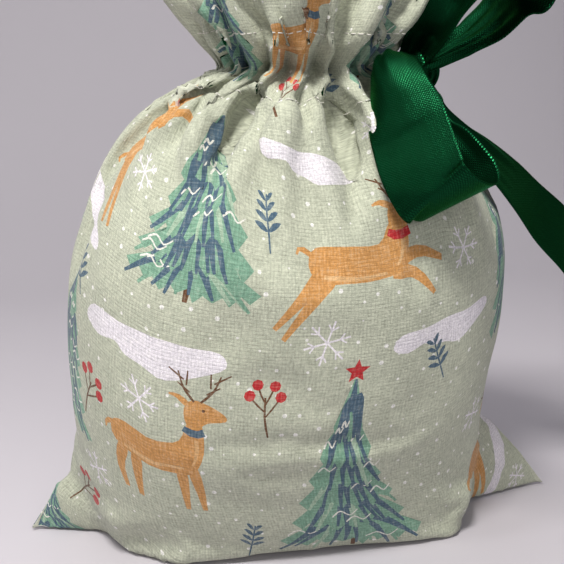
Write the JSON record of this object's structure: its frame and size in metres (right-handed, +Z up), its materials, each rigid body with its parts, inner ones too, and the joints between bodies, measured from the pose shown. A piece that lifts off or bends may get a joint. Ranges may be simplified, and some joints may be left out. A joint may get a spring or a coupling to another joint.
{
  "type": "drawstring pouch",
  "caption": "Sewn cotton gift pouch with a gathered neck, a flared frill above it and a satin ribbon drawstring tied in a bow at one side.",
  "frame": {"origin": "middle of the pouch's base, on the surface that it stands on", "axes": "+Z up, front towards -Y, and the side seams at -X and +X, with the bow at the +X side"},
  "size_m": [0.218, 0.1426, 0.2071],
  "materials": {
    "printed_cotton": "plain-woven cotton, printed on its outside with firs, deer, snowflakes and sprigs on sage green",
    "cotton_wrong_side": "the unprinted back of the same cotton, paler and matt",
    "cotton_thread": "off-white polyester sewing thread, slightly shiny",
    "satin_ribbon": "dark green polyester satin with woven edges, glossy in bands across its bends"
  },
  "bodies": {
    "pouch": {"front_panel": "printed_cotton", "back_panel": "printed_cotton", "front_casing": "printed_cotton", "back_casing": "printed_cotton", "front_casing_facing": "cotton_wrong_side", "back_casing_facing": "cotton_wrong_side", "front_lower_casing_stitches": "cotton_thread", "back_lower_casing_stitches": "cotton_thread", "left_seam_allowance": "cotton_wrong_side", "right_seam_allowance": "cotton_wrong_side", "bottom_seam_allowance": "cotton_wrong_side", "left_seam_overlock_thread": "cotton_thread", "right_seam_overlock_thread": "cotton_thread", "bottom_seam_overlock_thread": "cotton_thread", "casing_gap_bar_tacks": "cotton_thread", "ribbon_in_casing": "satin_ribbon"},
    "header": {"front_frill": "printed_cotton", "back_frill": "printed_cotton", "front_upper_casing_stitches": "cotton_thread", "back_upper_casing_stitches": "cotton_thread"},
    "drawstring": {"ribbon_exit_strands": "satin_ribbon"},
    "knot": {"ribbon_knot": "satin_ribbon"},
    "lower_loop": {"ribbon_lower_loop": "satin_ribbon"},
    "upper_loop": {"ribbon_upper_loop": "satin_ribbon"},
    "front_tail": {"ribbon_front_tail": "satin_ribbon"},
    "back_tail": {"ribbon_back_tail": "satin_ribbon"}
  },
  "joints": [
    {"name": "header_tilt", "type": "hinge", "parent": "pouch", "child": "header", "pos_m": [0, 0, 0.165], "axis": [1, 0, 0], "range_deg": [-10, 10]},
    {"name": "drawstring_pull", "type": "slide", "parent": "pouch", "child": "drawstring", "axis": [0.6624, -0.7492, 0], "range_m": [0, 0.008]},
    {"name": "bow_turn", "type": "hinge", "parent": "drawstring", "child": "knot", "pos_m": [0.0355, -0.0095, 0.1575], "axis": [0, 0, 1], "range_deg": [0, 10]},
    {"name": "lower_loop_lift", "type": "hinge", "parent": "knot", "child": "lower_loop", "pos_m": [0.0355, -0.0095, 0.1575], "axis": [0.965, -0.0193, -0.2615], "range_deg": [-25, 0]},
    {"name": "upper_loop_bend", "type": "hinge", "parent": "knot", "child": "upper_loop", "pos_m": [0.0355, -0.0095, 0.1575], "axis": [0.0721, -0.9807, -0.1816], "range_deg": [-20, 0]},
    {"name": "front_tail_swing", "type": "hinge", "parent": "knot", "child": "front_tail", "pos_m": [0.0355, -0.0095, 0.1575], "axis": [0.3431, 0.8353, 0.4297], "range_deg": [-20, 0]},
    {"name": "back_tail_swing", "type": "hinge", "parent": "knot", "child": "back_tail", "pos_m": [0.0355, -0.0095, 0.1575], "axis": [-0.7404, 0.4516, 0.4979], "range_deg": [-20, 0]}
  ]
}
